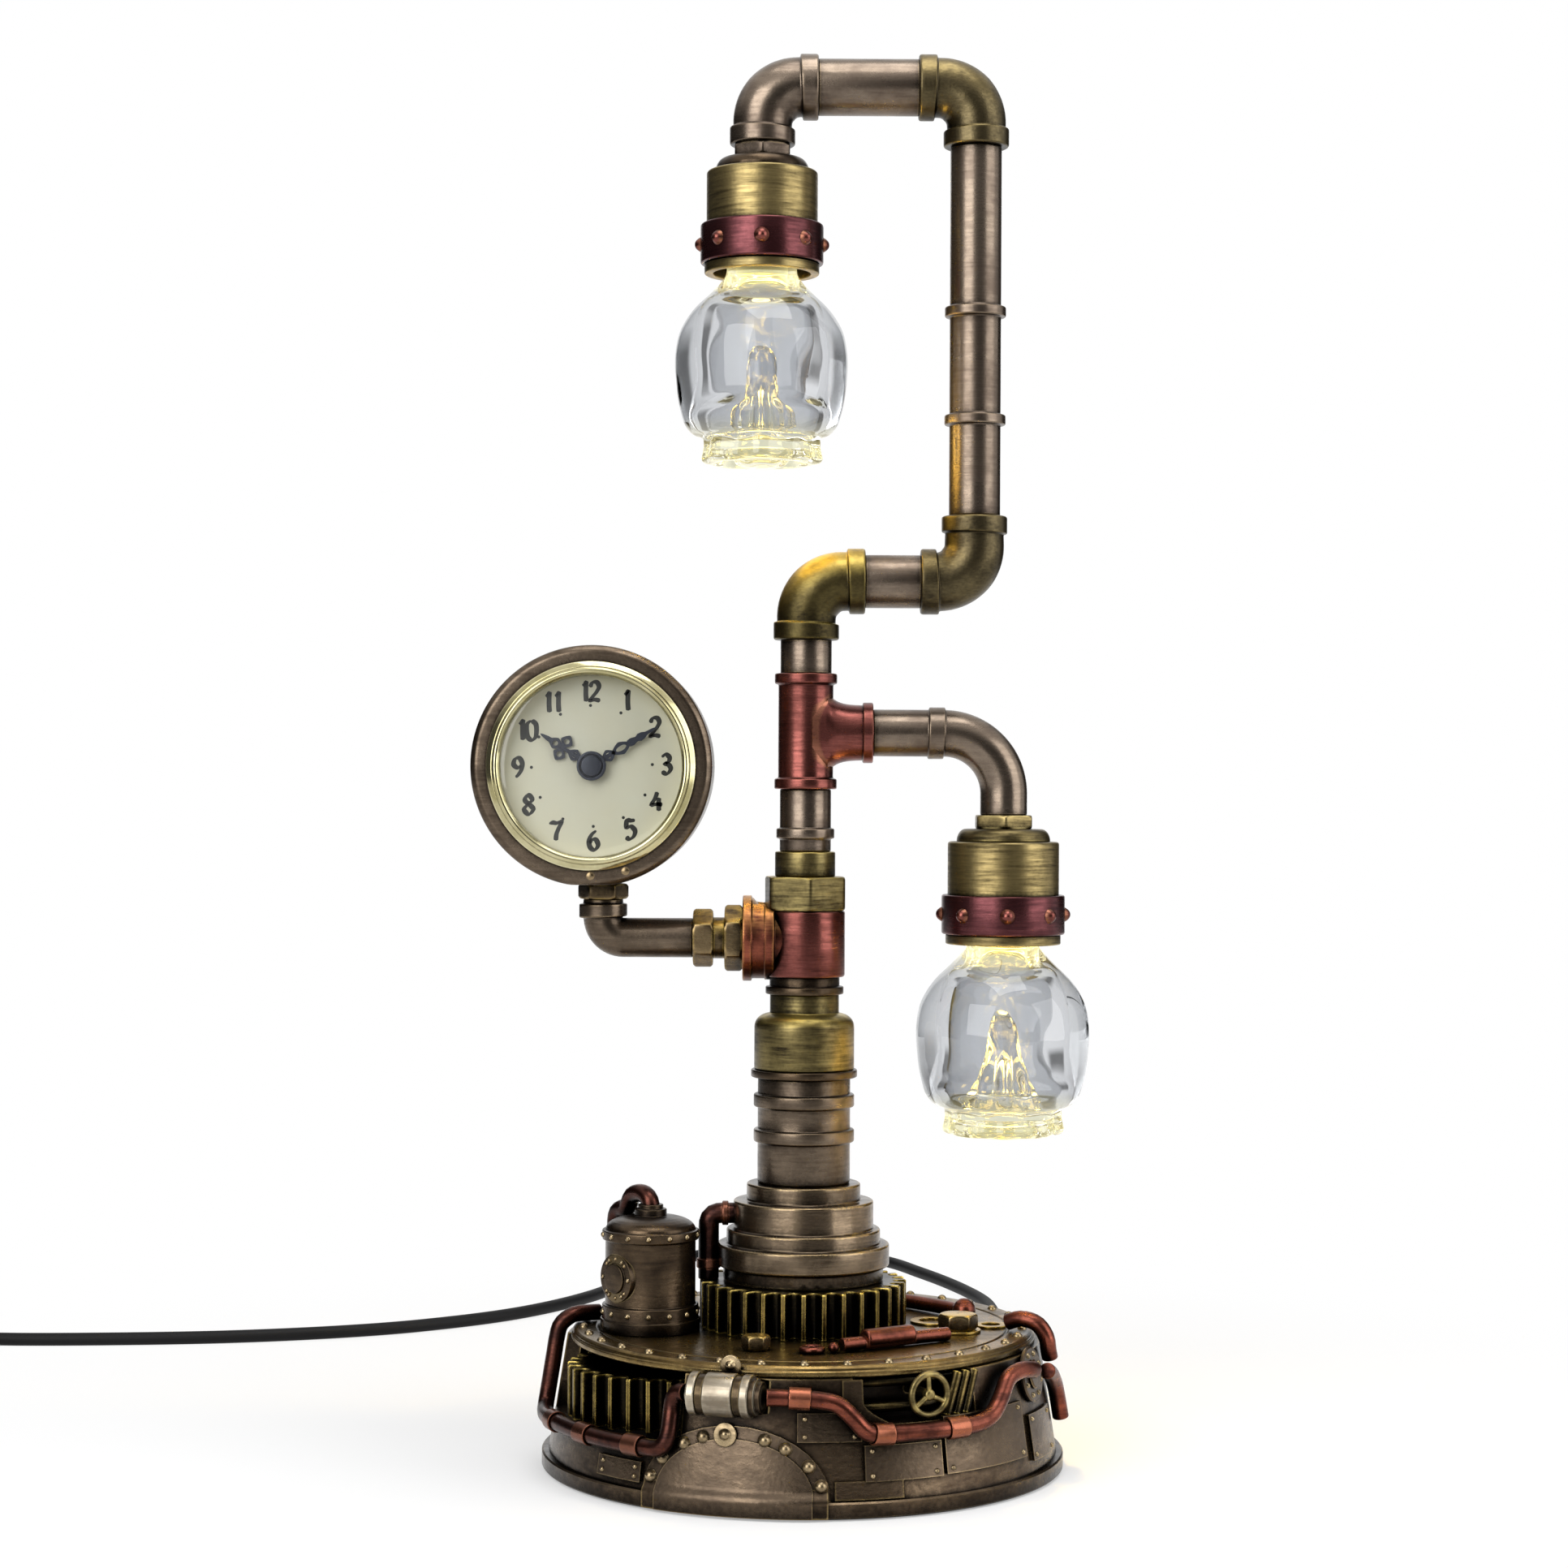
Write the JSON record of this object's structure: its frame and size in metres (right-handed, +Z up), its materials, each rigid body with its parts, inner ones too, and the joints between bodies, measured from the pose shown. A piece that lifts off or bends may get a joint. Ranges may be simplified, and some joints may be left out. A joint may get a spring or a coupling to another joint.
{
  "type": "pipe desk lamp with clock",
  "caption": "Desk lamp of pipe fittings on a round riveted base, with two hanging glass-shaded lights, a side-mounted clock and a mains cord with plug.",
  "frame": {"origin": "centre of the base on the table plane", "axes": "+Z up along the column, +X to the right of the clock dial, +Y to the rear"},
  "size_m": [0.4936, 0.5254, 0.4508],
  "materials": {
    "felt": "black felt",
    "dark_sheet": "dark painted sheet steel",
    "steel": "plain steel",
    "bronze": "aged bronze, semi-gloss",
    "antique_brass": "antique brass, semi-gloss",
    "copper_red": "rubbed copper red",
    "gear_gold": "black with gold rubbed edges",
    "silver": "worn silver",
    "black_plastic": "matt black",
    "white_plastic": "white diffuser",
    "cream_dial": "cream dial with printed numerals",
    "gold": "polished gold",
    "hand_black": "black hands",
    "shade_glass": "clear glass",
    "lens_glass": "clear lens",
    "rubber": "black rubber",
    "cord_black": "black cord jacket"
  },
  "bodies": {
    "lamp": {"felt_pad": "felt", "base_cover": "dark_sheet", "cover_screws": "steel", "base_drum": "bronze", "top_plate": "bronze", "plate_rivets": "antique_brass", "base_gear": "gear_gold", "drum_plates": "bronze", "front_capsule": "silver", "drum_pipes": "copper_red", "pipe_couplings": "copper_red", "rotary_switch": "black_plastic", "led_driver": "black_plastic", "column_gear": "gear_gold", "pedestal": "bronze", "tie_rod": "steel", "lower_pipe": "bronze", "bell_coupling": "antique_brass", "valve_block": "copper_red", "hex_reducer": "antique_brass", "column_pipe": "bronze", "tee": "copper_red", "pipe_nipples": "bronze", "elbow_1": "antique_brass", "elbow_2": "antique_brass", "elbow_3": "antique_brass", "elbow_4": "bronze", "riser_pipe": "bronze", "branch_pipe": "bronze", "lamp_nuts": "antique_brass", "lamp_sockets": "antique_brass", "socket_bands": "copper_red", "band_rivet_set": "copper_red", "led_modules": "white_plastic", "shade_grommets": "rubber", "upper_shade": "shade_glass", "lower_shade": "shade_glass", "clock_case": "bronze", "clock_stem": "bronze", "clock_nuts": "antique_brass", "tank": "bronze", "plate_pipes": "copper_red", "plate_bolts": "antique_brass", "wiring": "cord_black", "strain_relief": "rubber", "cord_run": "cord_black", "cord_coil": "cord_black", "cord_tie": "felt", "plug_body": "black_plastic", "plug_pins": "steel"},
    "clock_insert": {"insert_cup": "black_plastic", "dial": "cream_dial", "bezel": "gold", "lens": "lens_glass", "movement": "black_plastic", "battery": "steel"},
    "minute": {"minute_hand": "hand_black"},
    "hour": {"hour_hand": "hand_black"},
    "knob": {"set_knob": "white_plastic"},
    "wheel": {"handwheel": "antique_brass"}
  },
  "joints": [
    {"name": "clock_insert_slide", "type": "slide", "parent": "lamp", "child": "clock_insert", "axis": [0, -1, 0], "range_m": [0, 0.02]},
    {"name": "minute_turn", "type": "hinge", "parent": "clock_insert", "child": "minute", "pos_m": [-0.0676, -0.02, 0.2224], "axis": [0, 1, 0], "continuous": true},
    {"name": "hour_turn", "type": "hinge", "parent": "clock_insert", "child": "hour", "pos_m": [-0.0676, -0.02, 0.2224], "axis": [0, 1, 0], "continuous": true},
    {"name": "set_knob_turn", "type": "hinge", "parent": "clock_insert", "child": "knob", "pos_m": [-0.05835, -0.004, 0.21366], "axis": [0, 1, 0], "continuous": true},
    {"name": "handwheel_turn", "type": "hinge", "parent": "lamp", "child": "wheel", "pos_m": [0.03662, -0.06887, 0.0352], "axis": [0.4695, -0.8829, 0], "range_deg": [0, 270]}
  ],
  "couplings": [
    {"joint": "hour_turn", "follows": "minute_turn", "ratio": 0.083333},
    {"joint": "set_knob_turn", "follows": "minute_turn", "ratio": -1}
  ]
}
